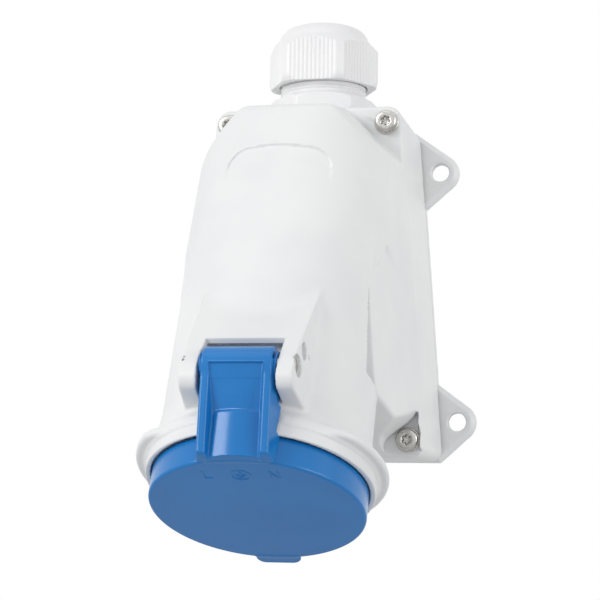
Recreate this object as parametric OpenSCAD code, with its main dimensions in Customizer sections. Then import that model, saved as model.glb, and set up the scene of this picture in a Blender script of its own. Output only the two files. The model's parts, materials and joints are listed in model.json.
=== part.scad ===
// Surface-mounted industrial wall socket, 16 A, two poles and earth, with sprung lid and cable gland.
// Frame: X to the right, Y into the wall, Z up. The origin is the middle of the four wall fixings
// on the wall face, so the part stands at negative Y.
// Socket frame: the tube leans, and has its own axis. There Z runs up the tube from the lid's face
// ("up") and the distance from the axis towards the front is called "out".

/* [Wall plate] */
// Distance between the two upper wall fixing holes
upper_hole_spacing = 75; // [72:0.5:78]
// Distance between the two lower wall fixing holes
lower_hole_spacing = 88; // [84:0.5:92]
// Height from the lower to the upper wall fixing holes
hole_row_spacing = 85; // [80:0.5:90]
// Diameter of a wall fixing hole
fixing_hole_d = 6.4; // [4.5:0.1:7]
// Radius of an ear round its hole
ear_tip_r = 6.4; // [5.5:0.1:7]
// Half height of an ear where it leaves the body
ear_root_half = 12.7; // [11:0.1:14]
// Distance of a hole's centre outside the body's side
ear_reach = 6; // [5:0.1:7]
// Thickness of plate and ears
plate_t = 4; // [3.5:0.1:5]
// Height of the rim that centres the hood on the plate
rim_h = 2.5; // [1.5:0.1:3]
// Thickness of the seal between plate and hood
gasket_t = 1; // [0.8:0.1:1.5]

/* [Housing] */
// Height of the housing
body_h = 113; // [110:0.5:118]
// Radius of its four corners
corner_r = 6; // [5.5:0.1:7]
// Wall thickness of the hood
wall = 3; // [2.6:0.1:3.2]
// Distance of the screw pads from the wall
pad_depth = 46.5; // [45:0.5:48]
// Distance of the middle body's front from the wall
mid_depth = 88; // [85:0.5:90]
// Distance by which the middle body's sides close in from the pads to its front
mid_draw = 8.5; // [7.5:0.1:9.5]
// Half width of the crown between the two upper screw pads
crown_half = 18.5; // [17:0.1:20]

/* [Cover screws] */
// Distance of a cover screw from the housing's side
screw_inset = 4.9; // [4.6:0.1:5.5]
// Distance of a cover screw from the housing's top or bottom
screw_end = 5.5; // [5:0.1:6.5]
// Radius of the screw's shank
screw_r = 2; // [1.5:0.05:2.2]
// Radius of its pan head
screw_head_r = 4; // [3.5:0.1:4.2]
// Height of the pan head
screw_head_h = 2.6; // [2:0.1:3]
// Radius of the washer under it
washer_r = 4.4; // [4.2:0.1:4.5]
// Thickness of the washer
washer_t = 0.8; // [0.5:0.1:1]
// Radius of a screw boss on the plate
boss_r = 3.3; // [3:0.1:3.4]
// Height of a screw boss
boss_h = 8; // [6:0.5:12]

/* [Socket tube] */
// Lean of the tube from upright, in degrees
tilt = 25.6; // [24:0.1:27]
// Distance of the lid's face centre from the wall
lid_depth = 107.6; // [106:0.2:110]
// Height of the lid's face centre below the origin
lid_drop = 74.1; // [72:0.1:76]
// Outside radius of the tube
tube_r = 31; // [30.5:0.1:31.5]
// Height of the tube's end rim above the lid's face
tube_top = 120.8; // [118:0.2:123]
// Width by which the flange stands out past the tube
flange_w = 6; // [5.5:0.1:6.5]
// Height of the flange's underside above the lid's face
flange_up = 11.75; // [11.25:0.05:12.25]
// Thickness of the flange
flange_t = 3.2; // [2.5:0.1:4]
// Height at which the insert is seated in the tube
seat_up = 46; // [44:0.5:48]
// Width of the ring gap between insert and mouth, for the plug
plug_gap = 6; // [5.5:0.1:6.5]

/* [Lid] */
// Outside radius of the lid
lid_r = 31.4; // [30.8:0.1:31.6]
// Thickness of the lid's face
lid_t = 3; // [2.4:0.1:3.2]
// Thickness of the lid's skirt
lid_wall = 2.4; // [2:0.1:2.6]
// Height of the lid's skirt
lid_h = 7.8; // [7.4:0.1:8.2]
// Half width of the lid's arm
arm_half = 10.4; // [9.5:0.1:11]
// Width of a rib of the arm
rib_w = 4.2; // [3.5:0.1:4.5]
// Radius of the hinge barrel
barrel_r = 5.5; // [5.2:0.1:5.8]
// Radius of the hinge pin
pin_r = 2.5; // [2:0.05:2.6]
// Diameter of the spring's wire
spring_wire = 1.1; // [0.8:0.05:1.2]
// Turns of the spring
spring_turns = 6; // [4:1:6]

/* [Cable gland] */
// Distance of the gland's axis from the wall
gland_depth = 22; // [21:0.1:23]
// Radius of the gland's entry thread
entry_r = 12.5; // [12:0.05:12.5]
// Width across flats of the gland's collar
collar_af = 30; // [29:0.5:31]
// Height of the collar
collar_h = 5.9; // [5:0.1:7]
// Width across flats of the dome nut
nut_af = 33; // [32:0.5:34]
// Height of the nut's hexagon
nut_h = 12.2; // [11:0.1:13]
// Height of the dome above the hexagon
dome_h = 8.3; // [8:0.1:9]
// Radius of the neck thread
neck_r = 14.35; // [14:0.05:14.5]
// Height of the open neck between collar and nut
neck_gap = 4.6; // [3.5:0.1:6]
// Radius of the cable passage through the seal
cable_r = 8.5; // [6:0.1:9]

/* [Contacts] */
// Radius of the circle on which the contacts stand
contact_circle = 9.5; // [9:0.1:10]
// Radius of a line or neutral pin hole
pole_r = 2.5; // [2.3:0.05:2.6]
// Radius of the earth pin hole
earth_r = 3.5; // [3.3:0.05:3.6]
// Wall thickness of a contact sleeve
sleeve_wall = 1.4; // [1.1:0.1:1.5]

/* [Hidden] */
$fn = 64;
small_fn = 32;
// Running fit of the hinge, and the air left between pieces that only stand near each other
fit = 0.05;
air = 0.3;
overlap = 0.5;
// How far a round corner's circle stands past the sides, so that they cross and don't just touch
poke = 0.02;
slab = 0.01;

// The housing's side: half width at mid height, its slope, and how far a unit of inset moves it
mid_half = (upper_hole_spacing + lower_hole_spacing)/4 - ear_reach;
side_taper = (lower_hole_spacing - upper_hole_spacing)/2/hole_row_spacing;
side_slant = sqrt(1 + side_taper*side_taper);
function side_half(z) = mid_half - side_taper*z;
top_z = body_h/2;
hood_back = plate_t + gasket_t;
rim_w = 1.4;
gasket_inset = 0.5;
screw_z = top_z - screw_end;
screw_points = [for (x = [-1, 1], z = [-1, 1]) [x*(side_half(z*screw_z) - screw_inset), z*screw_z]];
pilot_floor = 2;
column_r = 5.2;

// The middle body's corner below, and where its underside meets the front
screw_clear = 1.6;
tongue_z = washer_r + screw_clear - screw_z;
tongue_cut = 7;
cusp_h = 8;
cusp_z = tongue_z + cusp_h;
mid_front_h = 9;
mid_front_z = tongue_z + mid_front_h;
mid_front_cut = 5;
mid_top_drop = 16.5;
mid_top_z = top_z - mid_top_drop;
mid_bend_z = 6;
mid_bend_back = 3;

// The tube's rim at its front, in the wall frame
rim_y = -lid_depth + tube_top*sin(tilt) - tube_r*cos(tilt);
rim_z = -lid_drop + tube_top*cos(tilt) + tube_r*sin(tilt);
crown_drop = 45;
crown_set = 0.15;
drum_r = 120;

// The mouth: nose inside the lid's skirt, and the bore within it
skirt_gap = 1.6;
nose_r = lid_r - lid_wall - skirt_gap;
nose_wall = 1.9;
bore_r = nose_r - nose_wall;
lid_seal_t = 1.6;
nose_up = lid_t + lid_seal_t + 0.1;
lip_up = lid_h + air;
lip_in = lid_r + 0.5;
lip_t = 1.4;
collar_step = 0.5;
rim_chamfer = 0.4;
collar_up = 33.5;
key_w = 6;
key_depth = 1.1;

// The hinge: pin, bracket and recess
flange_r = tube_r + flange_w;
pin_out = flange_r + 0.9;
pin_up = flange_up + 13.4;
bracket_half = 17.5;
recess_half = arm_half + 0.9;
bracket_low = pin_up - 8;
bracket_top = 58;
cowl_slope = 0.5;
knuckle_out = pin_out + 4.7;
knuckle_up = pin_up - 1.5;
knuckle_nose = 0.7;
knuckle_fall = 3.5;
knuckle_back = 2.8;
cowl_out = knuckle_out - cowl_slope*(bracket_top - knuckle_up);
recess_top = pin_up + barrel_r + 3.2;
recess_in = tube_r + 0.6;
pin_sink_r = pin_r + 0.6;
pin_sink = 1;
side_hole_r = 2.4;
side_hole_out = tube_r + 3;
side_hole_up = pin_up + 7;
side_hole_deep = 2.5;
notch_half = recess_half + 1.1;
arm_in = recess_in + 0.6;
arm_low = lid_h - 0.3;
arm_root = lid_r - lid_wall + 0.5;
arm_front_out = pin_out + barrel_r - 0.2;
arm_foot_out = lid_r + 3.8;
arm_foot_up = 0.1;
web_sunk = 3.6;
web_lap = 0.7;
pin_boss_r = pin_r + 1.9;
pin_boss_h = 0.5;
lid_chamfer = 0.8;
tab_half = 6;
tab_out = 3;
tab_lap = 2;
pocket_r = barrel_r - 1;
pocket_half = 5.2;
pocket_mouth = pocket_r - 0.3;
channel_l = 9.6;
spring_r = pocket_r - spring_wire/2 - air;
spring_half = pocket_half - spring_wire/2 - air;
channel_out = pin_out - spring_r + spring_wire/2 + air;

// The insert
carrier_r = bore_r - plug_gap;
carrier_low = 9;
carrier_flange_t = 4;
carrier_back = seat_up + 6;
ring_t = 4;
ring_in = carrier_r + 0.8;
carrier_screw_at = (carrier_r + bore_r)/2;
carrier_screw_r = 1.5;
carrier_head_r = 2.5;
carrier_head_h = 2;
retainer_t = 2.5;
retainer_r = 17.5;
retainer_bite = 8;
sleeve_low = 12;
hole_air = 0.6;
shoulder_w = 1;
shoulder_t = 2;
terminal_h = 14;
slit_w = 0.8;
slit_l = 19;
terminal_r = 1.75;
wire_r = 2.2;
contact_spring_t = 0.4;
contact_angles = [-60, 60, 180];
contact_bores = [pole_r, pole_r, earth_r];

// The gland, measured up from the housing's top
washer_seal_t = 1.2;
locknut_af = 30;
locknut_t = 5;
entry_l = washer_seal_t + wall + locknut_t + 1.5;
collar_top = washer_seal_t + collar_h;
nut_low = collar_top + neck_gap;
nut_top = nut_low + nut_h;
dome_top = nut_top + dome_h;
neck_l = 9;
finger_l = 3;
neck_top = nut_low + neck_l;
finger_top = neck_top + finger_l;
finger_r = neck_r - 1.5;
finger_slot = 1.6;
finger_count = 10;
seal_r = 11.6;
seal_low = nut_low - 1;
seal_top = finger_top + 0.6;
cone_low = finger_top - 0.5;
cone_h = 6.5;
nut_mouth_r = cable_r + 1.2;
nut_corner_r = nut_af/2 + 1.6;
collar_turn = 12;
nut_turn = -9;

// Extrudes an outline drawn in X and Z, from one distance in front of the wall to another
module stand_off(from, to) translate([0, -from, 0]) rotate([90, 0, 0])
    linear_extrude(to - from) children();

// Extrudes an outline drawn in Y and Z, to both sides of the middle plane
module across(half) translate([-half, 0, 0]) rotate([90, 0, 90])
    linear_extrude(2*half) children();

// Turns points given as out and up into the socket frame's Y and Z
function out_up(points) = [for (p = points) [-p.x, p.y]];

module at_socket() translate([0, -lid_depth, -lid_drop]) rotate([-tilt, 0, 0]) children();
module at_gland() translate([0, -gland_depth, top_z]) children();
module at_screws(from) for (p = screw_points) translate([p.x, -from, p.y])
    rotate([90, 0, 0]) children();
module at_pin() translate([0, -pin_out, pin_up]) rotate([0, 90, 0]) children();
module at_contact(i) rotate([0, 0, contact_angles[i]])
    translate([0, -contact_circle, 0]) children();
module rod(r, half) translate([0, 0, -half]) cylinder(h = 2*half, r = r, $fn = small_fn);
module pipe(r, low, high) translate([0, 0, low]) cylinder(h = high - low, r = r);
module hexagon(flats, low, high) translate([0, 0, low])
    cylinder(h = high - low, r = flats/sqrt(3), $fn = 6);

// Front view of the housing: a tapered rectangle drawn in by inset, with its corners cut round
module outline(inset) {
    h = top_z - inset;
    r = max(corner_r - inset, air);
    upper = side_half(h) - inset*side_slant;
    lower = side_half(-h) - inset*side_slant;
    difference() {
        polygon([[upper, h], [lower, -h], [-lower, -h], [-upper, h]]);
        for (x = [0, 1], z = [-1, 1]) mirror([x, 0])
            corner_cut(r, z, z*(h - r + poke), inset + r - poke);
    }
}

// What a round corner takes off: from the arc's centre to well outside, less the arc's circle
module corner_cut(r, z, centre_z, in) {
    centre = [side_half(centre_z) - in*side_slant, centre_z];
    side = centre + r/side_slant*[1, side_taper];
    difference() {
        polygon([centre, side, centre + 3*r*[1, z], centre + [0, z*r]]);
        translate(centre) circle(r, $fn = small_fn);
    }
}

// One ear: tangent lines from the body's side to the round end about the hole
module ear(hole) {
    root = [for (s = [1, -1]) [side_half(hole.y + s*ear_root_half), hole.y + s*ear_root_half]];
    turn = [for (i = [0, 1]) let (d = root[i] - hole, s = 1 - 2*i)
        atan2(d.y, d.x) - s*acos(ear_tip_r/norm(d))];
    tip = [for (a = turn) hole + ear_tip_r*[cos(a), sin(a)]];
    polygon([root[0] - [overlap, 0], root[0], tip[0], tip[1], root[1], root[1] - [overlap, 0]]);
    translate(hole) circle(ear_tip_r);
}

function hole_at(z) = [(z > 0 ? upper_hole_spacing : lower_hole_spacing)/2, z*hole_row_spacing/2];

module wall_plate() color("gainsboro") difference() {
    union() {
        stand_off(0, plate_t) outline(0);
        stand_off(0, plate_t) for (z = [-1, 1]) {
            ear(hole_at(z));
            mirror([1, 0]) ear(hole_at(z));
        }
        stand_off(plate_t - overlap, plate_t + rim_h) difference() {
            outline(wall + air);
            outline(wall + air + rim_w);
        }
        at_screws(plate_t - overlap) cylinder(h = boss_h + overlap, r = boss_r, $fn = small_fn);
    }
    for (x = [-1, 1], z = [-1, 1]) translate([x*hole_at(z).x, overlap, hole_at(z).y])
        rotate([90, 0, 0]) cylinder(h = plate_t + 2*overlap, d = fixing_hole_d, $fn = small_fn);
    at_screws(pilot_floor) cylinder(h = plate_t + boss_h, r = screw_r + fit, $fn = small_fn);
}

module plate_gasket() color("dimgray") difference() {
    stand_off(plate_t, hood_back) outline(gasket_inset);
    stand_off(plate_t - 1, hood_back + 1) outline(wall);
    at_screws(0) cylinder(h = hood_back + 1, r = boss_r + air, $fn = small_fn);
}

// Middle body: sides that close in towards the front, cut off level with the tube's rim
module mid_body(inset) intersection() {
    back = pad_depth - overlap - inset*4/3;
    hull() {
        stand_off(back, back + slab) mid_section([
            [side_half(mid_top_z) - inset*side_slant, mid_top_z],
            [side_half(cusp_z) - inset*side_slant, cusp_z],
            [side_half(tongue_z) - tongue_cut - inset, tongue_z + inset]]);
        stand_off(mid_depth - inset - slab, mid_depth - inset) mid_section([
            [side_half(mid_top_z) - mid_draw - inset, mid_top_z],
            [side_half(mid_front_z) - mid_draw - inset, mid_front_z + mid_front_cut],
            [side_half(mid_front_z) - mid_draw - mid_front_cut - inset, mid_front_z + inset]]);
    }
    across(drum_r) polygon([[0, -body_h], [-mid_depth, -body_h], [-mid_depth, mid_front_z],
        [mid_bend_back - mid_depth, mid_bend_z], [mid_bend_back - mid_depth + body_h*sin(tilt),
        mid_bend_z + body_h*cos(tilt)], [0, body_h]]);
    at_socket() pipe(drum_r, -lid_depth, tube_top - inset);
}

module mid_section(right) polygon(concat(right, [for (i = [2:-1:0]) [-right[i].x, right[i].y]]));

// Crown: the roof from the housing's top down to the tube's rim, between the upper screw pads
module crown(inset) intersection() {
    back = -pad_depth + overlap + inset*4/3;
    front = rim_y - 3;
    fall = (top_z - rim_z)/(-pad_depth - rim_y);
    across(crown_half - inset) polygon([[back, top_z - inset + fall*(back + pad_depth)],
        [front, rim_z - inset + fall*(front - rim_y)], [front, rim_z - crown_drop],
        [back, rim_z - crown_drop]]);
    at_socket() pipe(tube_r - crown_set - inset, 0, tube_top + crown_drop);
}

// Flange, the lip round the lid and the nose that the lid's seal meets, turned about the tube's axis
module mouth_rings() rotate_extrude() {
    polygon([[bore_r - 1, nose_up], [nose_r, nose_up], [nose_r, flange_up], [lip_in, flange_up],
        [lip_in, lip_up], [lip_in + lip_t, lip_up], [lip_in + lip_t, flange_up],
        [flange_r - rim_chamfer, flange_up], [flange_r, flange_up + rim_chamfer],
        [flange_r, flange_up + flange_t/2], [flange_r - rim_chamfer, flange_up + flange_t],
        [tube_r - 1, flange_up + flange_t + 1], [bore_r - 1, flange_up + flange_t + 1]]);
}

module hinge_bracket() difference() {
    across(bracket_half) polygon(out_up([[tube_r - 6, bracket_top], [cowl_out, bracket_top],
        [knuckle_out, knuckle_up], [knuckle_out - knuckle_nose, knuckle_up - knuckle_fall],
        [knuckle_out - knuckle_back, bracket_low], [tube_r - wall, bracket_low]]));
    across(recess_half) polygon(out_up([[recess_in, 0], [knuckle_out + 1, 0],
        [knuckle_out + 1, recess_top], [recess_in, recess_top]]));
    at_pin() rod(pin_r, bracket_half + 1);
    for (x = [-1, 1]) translate([x*bracket_half, 0, 0]) {
        at_pin() rod(pin_sink_r, pin_sink);
        translate([0, -side_hole_out, side_hole_up]) rotate([0, 90, 0]) rod(side_hole_r, side_hole_deep);
    }
}

module hood() color("whitesmoke") difference() {
    union() {
        difference() {
            union() {
                stand_off(hood_back, pad_depth) outline(0);
                mid_body(0);
                crown(0);
                at_socket() {
                    pipe(tube_r, flange_up, tube_top);
                    pipe(tube_r + collar_step, flange_up, collar_up);
                }
            }
            stand_off(hood_back - 1, pad_depth - wall) outline(wall);
            mid_body(wall);
            crown(wall);
            at_socket() pipe(tube_r - wall, seat_up + ring_t, tube_top - wall);
        }
        intersection() {
            stand_off(hood_back, pad_depth) outline(wall/2);
            at_screws(plate_t + boss_h + air) cylinder(h = pad_depth, r = column_r, $fn = small_fn);
        }
        at_socket() {
            difference() {
                mouth_rings();
                across(notch_half) polygon(out_up([[recess_in, 0], [flange_r + 1, 0],
                    [flange_r + 1, bracket_low], [recess_in, bracket_low]]));
            }
            hinge_bracket();
            difference() {
                pipe(tube_r - overlap, flange_up, seat_up + ring_t);
                translate([0, 0, flange_up - 1]) cylinder(h = seat_up + ring_t, r = bore_r - 1);
            }
            difference() {
                pipe(tube_r - overlap, seat_up, seat_up + ring_t);
                pipe(ring_in, seat_up - 1, seat_up + ring_t + 1);
            }
        }
    }
    at_socket() {
        pipe(bore_r, 0, seat_up);
        pipe(ring_in, seat_up - 1, seat_up + ring_t + 1);
        translate([-key_w/2, 0, 0]) cube([key_w, bore_r + key_depth, seat_up - carrier_flange_t]);
        for (x = [-1, 1]) translate([x*carrier_screw_at, 0, 0])
            pipe(carrier_screw_r + fit, seat_up - 1, seat_up + ring_t + 1);
    }
    at_screws(0) cylinder(h = pad_depth + 1, r = screw_r + 0.25, $fn = small_fn);
    at_screws(0) cylinder(h = plate_t + boss_h + air, r = boss_r + air, $fn = small_fn);
    at_gland() pipe(entry_r + 0.1, -wall - 1, 1);
}

// Pan head with a six-sided driving recess, above a plain shank that runs down from the origin
module pan_screw(shank_r, shank_l, head_r, head_h, drive_r) difference() {
    union() {
        pipe(shank_r, -shank_l, overlap);
        intersection() {
            pipe(head_r, 0, head_h);
            translate([0, 0, head_h - 2*head_r]) sphere(2*head_r);
        }
    }
    hexagon(drive_r*sqrt(3), head_h*0.45, head_h + 1);
}

module insert_screw(l)
    pan_screw(carrier_screw_r, l, carrier_head_r, carrier_head_h, carrier_screw_r*0.8);

module cover_screws() color("silver") at_screws(pad_depth + washer_t)
    pan_screw(screw_r, pad_depth + washer_t - pilot_floor - 1, screw_head_r, screw_head_h, screw_r*0.95);

module cover_washers() color("lightgray") at_screws(pad_depth) difference() {
    cylinder(h = washer_t, r = washer_r);
    translate([0, 0, -1]) cylinder(h = washer_t + 2, r = screw_r + 0.25);
}

module contact_carrier() color("dimgray") at_socket() difference() {
    union() {
        pipe(carrier_r, carrier_low, carrier_back);
        pipe(bore_r - air, seat_up - carrier_flange_t, seat_up);
    }
    for (i = [0:2]) at_contact(i) {
        pipe(contact_bores[i] + 0.4, carrier_low - 1, carrier_back);
        pipe(contact_bores[i] + sleeve_wall + hole_air, sleeve_low - air, carrier_back - shoulder_t);
        pipe(contact_bores[i] + sleeve_wall + shoulder_w + fit, carrier_back - shoulder_t, carrier_back + 1);
    }
    for (x = [-1, 1]) translate([x*carrier_screw_at, 0, 0])
        pipe(carrier_screw_r + 0.2, seat_up - carrier_flange_t - 1, seat_up + 1);
    pipe(carrier_screw_r + fit, carrier_back - retainer_bite - 2, carrier_back + 1);
}

module carrier_screws() color("silver") at_socket() for (x = [-1, 1])
    translate([x*carrier_screw_at, 0, seat_up - carrier_flange_t]) mirror([0, 0, 1])
        insert_screw(carrier_flange_t + ring_t);

module contact_retainer() color("darkgray") at_socket() difference() {
    pipe(retainer_r, carrier_back, carrier_back + retainer_t);
    for (i = [0:2]) at_contact(i)
        pipe(contact_bores[i] + sleeve_wall + 0.3, carrier_back - 1, carrier_back + retainer_t + 1);
    pipe(carrier_screw_r + 0.2, carrier_back - 1, carrier_back + retainer_t + 1);
}

module retainer_screw() color("silver") at_socket() translate([0, 0, carrier_back + retainer_t])
    insert_screw(retainer_t + retainer_bite);

// One contact: slit sleeve for the pin, shoulder held by the retainer, and a pillar terminal behind
module contact(i) at_socket() at_contact(i) difference() {
    r = contact_bores[i] + sleeve_wall;
    back = carrier_back + retainer_t + terminal_h;
    union() {
        pipe(r, sleeve_low, back);
        pipe(r + shoulder_w, carrier_back - shoulder_t, carrier_back);
    }
    pipe(contact_bores[i], sleeve_low - 1, seat_up);
    for (a = [0, 90]) rotate([0, 0, a]) translate([-r - 1, -slit_w/2, sleeve_low - 1])
        cube([2*r + 2, slit_w, slit_l + 1]);
    pipe(wire_r, back - terminal_h + 2, back + 1);
    translate([0, 0, back - terminal_h/2]) rotate([0, 0, -contact_angles[i]]) rotate([-90, 0, 0])
        cylinder(h = r + 1, r = terminal_r + fit, $fn = small_fn);
}

module line_contact() color("goldenrod") contact(0);
module neutral_contact() color("goldenrod") contact(1);
module earth_contact() color("goldenrod") contact(2);

module contact_springs() color("silver") at_socket() for (i = [0:2]) at_contact(i) difference() {
    r = contact_bores[i] + sleeve_wall;
    pipe(r + contact_spring_t, sleeve_low + 3, sleeve_low + 6);
    pipe(r, sleeve_low + 2, sleeve_low + 7);
}

module terminal_screws() color("silver") at_socket() for (i = [0:2]) {
    r = contact_bores[i] + sleeve_wall;
    at_contact(i) translate([0, 0, carrier_back + retainer_t + terminal_h/2])
        rotate([0, 0, -contact_angles[i]]) rotate([-90, 0, 0]) translate([0, 0, r])
            pan_screw(terminal_r, r - wire_r + 0.6, terminal_r + 1, 2, terminal_r*0.7);
}

// Side view of the arm: its front runs straight from the barrel to the lid's face; sunk for the web
function arm_side(sunk) = out_up([[arm_front_out - sunk, pin_up], [arm_foot_out - sunk, arm_foot_up],
    [arm_root, arm_foot_up], [arm_root, arm_low], [arm_in, arm_low], [arm_in, pin_up]]);

module lid() color("steelblue") at_socket() difference() {
    union() {
        rotate_extrude() polygon([[0, 0], [lid_r - lid_chamfer, 0], [lid_r, lid_chamfer],
            [lid_r, lid_h], [lid_r - lid_wall, lid_h], [lid_r - lid_wall, lid_t], [0, lid_t]]);
        for (x = [-1, 1]) translate([x*(arm_half - rib_w/2), 0, 0])
            across(rib_w/2) polygon(arm_side(0));
        across(arm_half - rib_w + web_lap) polygon(arm_side(web_sunk));
        at_pin() {
            rod(barrel_r, arm_half);
            rod(pin_boss_r, arm_half + pin_boss_h);
        }
        translate([-tab_half, lid_r - tab_lap, 0]) cube([2*tab_half, tab_out + tab_lap, lid_t]);
    }
    at_pin() rod(pin_r + fit, arm_half + 2*pin_boss_h);
    at_pin() rod(pocket_r, pocket_half);
    across(pocket_half) polygon(out_up([[arm_in - 1, pin_up - pocket_mouth],
        [pin_out, pin_up - pocket_mouth], [pin_out, pin_up + pocket_mouth],
        [arm_in - 1, pin_up + pocket_mouth]]));
    across(pocket_half) polygon(out_up([[arm_in - 1, pin_up - channel_l],
        [channel_out, pin_up - channel_l], [channel_out, pin_up + barrel_r],
        [arm_in - 1, pin_up + barrel_r]]));
}

module lid_gasket() color("black") at_socket() difference() {
    pipe(nose_r + 0.2, lid_t, lid_t + lid_seal_t);
    pipe(bore_r - 0.6, lid_t - 1, lid_t + lid_seal_t + 1);
}

module hinge_pin() color("silver") at_socket() at_pin() rod(pin_r, bracket_half - pin_sink/2);

// Torsion spring: a straight leg in the arm's back, the coil round the pin, and a leg up the recess
spring_sides = 8;
spring_steps = 20;
spring_start = 180;
spring_leg_a = channel_l - spring_wire;
spring_leg_b = recess_top - pin_up - spring_wire;
function coil_turn(t) = spring_start - 360*t*spring_turns;
function on_coil(t) = [(2*t - 1)*spring_half, -pin_out - spring_r*cos(coil_turn(t)),
    pin_up + spring_r*sin(coil_turn(t))];
function coil_way(t) = [0, sin(coil_turn(t)), cos(coil_turn(t))];
spring_path = concat([on_coil(0) + spring_leg_a*coil_way(0)],
    [for (k = [0:spring_turns*spring_steps]) on_coil(k/(spring_turns*spring_steps))],
    [on_coil(1) - spring_leg_b*coil_way(1)]);

function unit(v) = v/norm(v);
function way_at(k) = unit(spring_path[min(k + 1, len(spring_path) - 1)] - spring_path[max(k - 1, 0)]);
function ring_at(k) = let (w = way_at(k), e = unit([1, 0, 0] - w.x*w), f = cross(w, e))
    [for (j = [0:spring_sides - 1]) let (a = 360*j/spring_sides)
        spring_path[k] + spring_wire/2*(cos(a)*e + sin(a)*f)];

module lid_spring() color("silver") at_socket() {
    rings = len(spring_path);
    n = spring_sides;
    polyhedron(points = [for (k = [0:rings - 1]) each ring_at(k)],
        faces = concat([[for (j = [0:n - 1]) j]], [[for (j = [n - 1:-1:0]) (rings - 1)*n + j]],
            [for (k = [0:rings - 2], j = [0:n - 1])
                [k*n + j, (k + 1)*n + j, (k + 1)*n + (j + 1)%n, k*n + (j + 1)%n]]));
}

module gland_body() color("white") at_gland() difference() {
    union() {
        pipe(entry_r, washer_seal_t - entry_l, washer_seal_t + 1);
        rotate([0, 0, collar_turn]) hexagon(collar_af, washer_seal_t, collar_top);
        pipe(neck_r, collar_top - overlap, neck_top);
        pipe(finger_r, neck_top - overlap, finger_top);
    }
    pipe(cable_r + 0.5, -entry_l, seal_low);
    pipe(seal_r + 0.1, seal_low, finger_top + 1);
    for (i = [1:finger_count]) rotate([0, 0, 360*i/finger_count])
        translate([0, -finger_slot/2, neck_top + 1]) cube([neck_r, finger_slot, finger_top]);
}

module gland_washer() color("dimgray") at_gland() difference() {
    pipe(collar_af/2 - 0.2, 0, washer_seal_t);
    pipe(entry_r + 0.15, -1, washer_seal_t + 1);
}

module gland_locknut() color("white") at_gland() difference() {
    hexagon(locknut_af, -wall - locknut_t, -wall);
    pipe(entry_r + 0.05, -wall - locknut_t - 1, -wall + 1);
}

module gland_seal() color("dimgray") at_gland() difference() {
    pipe(seal_r, seal_low, seal_top);
    pipe(cable_r, seal_low - 1, seal_top + 1);
}

module gland_nut() color("white") at_gland() rotate([0, 0, nut_turn]) difference() {
    union() {
        intersection() {
            hexagon(nut_af, nut_low, nut_top);
            pipe(nut_corner_r, nut_low, nut_top);
        }
        rotate_extrude() polygon([[0, nut_top - 1], [nut_af/2 - 0.1, nut_top - 1],
            [nut_af/2 - 0.3, nut_top], [nut_af/2 - 1.2, nut_top + dome_h*0.45],
            [nut_af/2 - 3, nut_top + dome_h*0.8], [nut_af/2 - 5, dome_top], [0, dome_top]]);
    }
    pipe(neck_r + fit, nut_low - 1, cone_low);
    translate([0, 0, cone_low - slab]) cylinder(h = cone_h, r1 = neck_r + fit, r2 = nut_mouth_r);
    pipe(nut_mouth_r, cone_low, dome_top + 1);
}

wall_plate();
plate_gasket();
hood();
cover_screws();
cover_washers();
contact_carrier();
carrier_screws();
contact_retainer();
retainer_screw();
line_contact();
neutral_contact();
earth_contact();
contact_springs();
terminal_screws();
lid();
lid_gasket();
hinge_pin();
lid_spring();
gland_body();
gland_washer();
gland_locknut();
gland_seal();
gland_nut();
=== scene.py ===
import json
import math
from functools import reduce

import bpy
import numpy as np
from mathutils import Matrix, Vector


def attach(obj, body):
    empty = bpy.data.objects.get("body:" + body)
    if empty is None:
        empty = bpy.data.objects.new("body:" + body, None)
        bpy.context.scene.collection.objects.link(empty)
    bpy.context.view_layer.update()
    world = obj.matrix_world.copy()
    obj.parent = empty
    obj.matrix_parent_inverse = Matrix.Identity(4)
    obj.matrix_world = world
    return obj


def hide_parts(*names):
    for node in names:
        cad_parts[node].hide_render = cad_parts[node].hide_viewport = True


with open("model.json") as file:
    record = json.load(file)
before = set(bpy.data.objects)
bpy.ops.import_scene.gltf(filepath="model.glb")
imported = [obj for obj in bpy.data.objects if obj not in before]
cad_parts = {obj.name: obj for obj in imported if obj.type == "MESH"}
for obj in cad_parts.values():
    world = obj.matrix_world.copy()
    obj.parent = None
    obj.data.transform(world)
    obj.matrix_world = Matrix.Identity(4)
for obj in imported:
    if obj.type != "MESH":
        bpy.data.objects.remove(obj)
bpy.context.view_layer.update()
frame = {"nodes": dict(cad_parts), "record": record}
nodes = frame["nodes"]
scene = bpy.context.scene
scene.view_settings.view_transform = "Standard"
print("frame loaded:", len(nodes), "nodes")

# Shapes are worked out in millimetres in the CAD frame and scaled to metres when the mesh is made
mm = 0.001

photoCamera = {
    "place": (126.2, -638.5, -79.8),
    "back": (0.2096, -0.9703, -0.1205),   # from what it looks at towards the camera
    "up": (0.0100, -0.1211, 0.9926),
    "lens": 114.0,
    "sensor": 36.0,
    "nearest": 0.01,                      # metres
}


def placeCamera(c):
    back = Vector(c["back"]).normalized()
    right = Vector(c["up"]).cross(back).normalized()
    axes = Matrix((right, back.cross(right), back)).transposed()
    cam = bpy.data.objects.new("photoCamera", bpy.data.cameras.new("photoCamera"))
    cam.data.lens = c["lens"]
    cam.data.sensor_width = c["sensor"]
    cam.data.clip_start = c["nearest"]
    cam.matrix_world = Matrix.Translation(Vector(c["place"]) * mm) @ axes.to_4x4()
    scene.collection.objects.link(cam)
    scene.camera = cam


placeCamera(photoCamera)

# The tube leans: "up" runs along its axis from the lid's face, "out" is the distance from the axis forward
tube = {"tilt": 25.6, "faceY": -107.6, "faceZ": -74.1, "radius": 31.0, "end": 120.8}
tiltSin = math.sin(math.radians(tube["tilt"]))
tiltCos = math.cos(math.radians(tube["tilt"]))


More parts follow.
